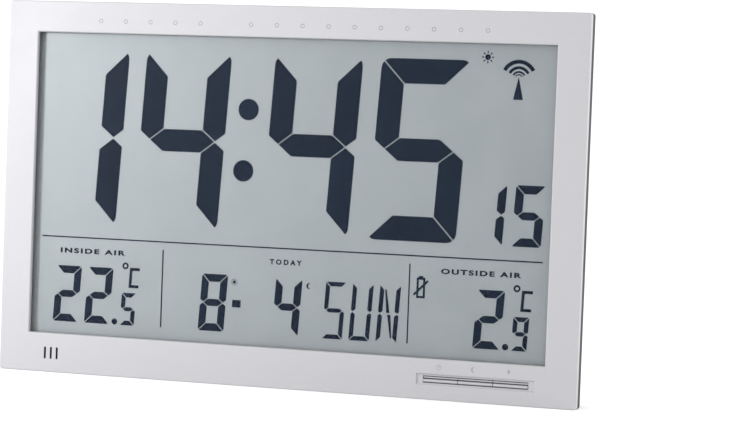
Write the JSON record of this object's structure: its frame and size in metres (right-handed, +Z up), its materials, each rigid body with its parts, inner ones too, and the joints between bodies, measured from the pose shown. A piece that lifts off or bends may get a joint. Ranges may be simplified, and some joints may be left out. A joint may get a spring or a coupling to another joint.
{
  "type": "radio-controlled wall clock",
  "caption": "Slim wide digital wall clock with a silver frame round a large segment display, press keys below it, keyhole hangers, a battery door and a fold-out stand at the back.",
  "frame": {"origin": "centre of the base, on the surface that the clock stands on", "axes": "+Z up, +X to the right as seen from the front, the display faces -Y"},
  "size_m": [0.368, 0.03, 0.23],
  "materials": {
    "silver_frame": "fine metallic silver paint, satin",
    "silver_key": "fine metallic silver paint, satin",
    "dark_case": "fine moulded texture, anthracite",
    "dark_door": "fine moulded texture, anthracite",
    "dark_stand": "fine moulded texture, anthracite",
    "gasket_foam": "black foam",
    "display_film": "clear matt film",
    "display_glass": "clear",
    "segment_ink": "dark blue-black",
    "reflector": "matt grey-green",
    "white_plastic": "moulded",
    "strip_rubber": "striped silicone",
    "board_green": "solder mask",
    "black_resin": "cast resin",
    "bright_metal": "tinned",
    "blue_sleeve": "shrink sleeve",
    "black_plastic": "moulded",
    "grey_lead": "insulated",
    "red_lead": "insulated",
    "black_lead": "insulated",
    "ferrite": "sintered",
    "copper_winding": "enamelled wire",
    "brass_wire": "drawn",
    "brass_disc": "rolled",
    "cell_jacket": "printed metal jacket",
    "spring_steel": "nickel plated",
    "screw_steel": "zinc plated"
  },
  "bodies": {
    "clock": {"front_frame": "silver_frame", "window_gasket": "gasket_foam", "lcd_front_film": "display_film", "lcd_front_glass": "display_glass", "lcd_segments": "segment_ink", "lcd_rear_glass": "display_glass", "lcd_reflector": "reflector", "lcd_holder": "white_plastic", "contact_strip": "strip_rubber", "main_board": "board_green", "controller_chip": "black_resin", "quartz_crystal": "bright_metal", "capacitors": "blue_sleeve", "switch_housings": "black_plastic", "thermistor": "black_resin", "sensor_lead": "grey_lead", "ferrite_rod": "ferrite", "antenna_coil": "copper_winding", "antenna_clips": "white_plastic", "time_receiver": "board_green", "sensor_receiver": "board_green", "receiver_can": "bright_metal", "receiver_aerial": "brass_wire", "buzzer_disc": "brass_disc", "buzzer_ring": "black_plastic", "rear_case": "dark_case", "battery_cell_upper": "cell_jacket", "battery_cell_lower": "cell_jacket", "contact_springs": "spring_steel", "contact_plates": "spring_steel", "battery_lead_red": "red_lead", "battery_lead_black": "black_lead", "case_screws": "screw_steel", "board_screws": "screw_steel", "holder_screws": "screw_steel", "stand_pin": "spring_steel"},
    "left_key": {"key_left": "silver_key", "plunger_left": "black_plastic"},
    "middle_key": {"key_middle": "silver_key", "plunger_middle": "black_plastic"},
    "right_key": {"key_right": "silver_key", "plunger_right": "black_plastic"},
    "door": {"battery_door": "dark_door"},
    "stand": {"table_stand": "dark_stand"}
  },
  "joints": [
    {"name": "left_key_press", "type": "slide", "parent": "clock", "child": "left_key", "axis": [0, 1, 0], "range_m": [0, 0.0005], "stiffness_N_per_m": 3000},
    {"name": "middle_key_press", "type": "slide", "parent": "clock", "child": "middle_key", "axis": [0, 1, 0], "range_m": [0, 0.0005], "stiffness_N_per_m": 3000},
    {"name": "right_key_press", "type": "slide", "parent": "clock", "child": "right_key", "axis": [0, 1, 0], "range_m": [0, 0.0005], "stiffness_N_per_m": 3000},
    {"name": "door_slide", "type": "slide", "parent": "clock", "child": "door", "axis": [1, 0, 0], "range_m": [0, 0.008]},
    {"name": "stand_fold", "type": "hinge", "parent": "clock", "child": "stand", "pos_m": [0, 0.0126, 0.098], "axis": [1, 0, 0], "range_deg": [0, 25]}
  ]
}
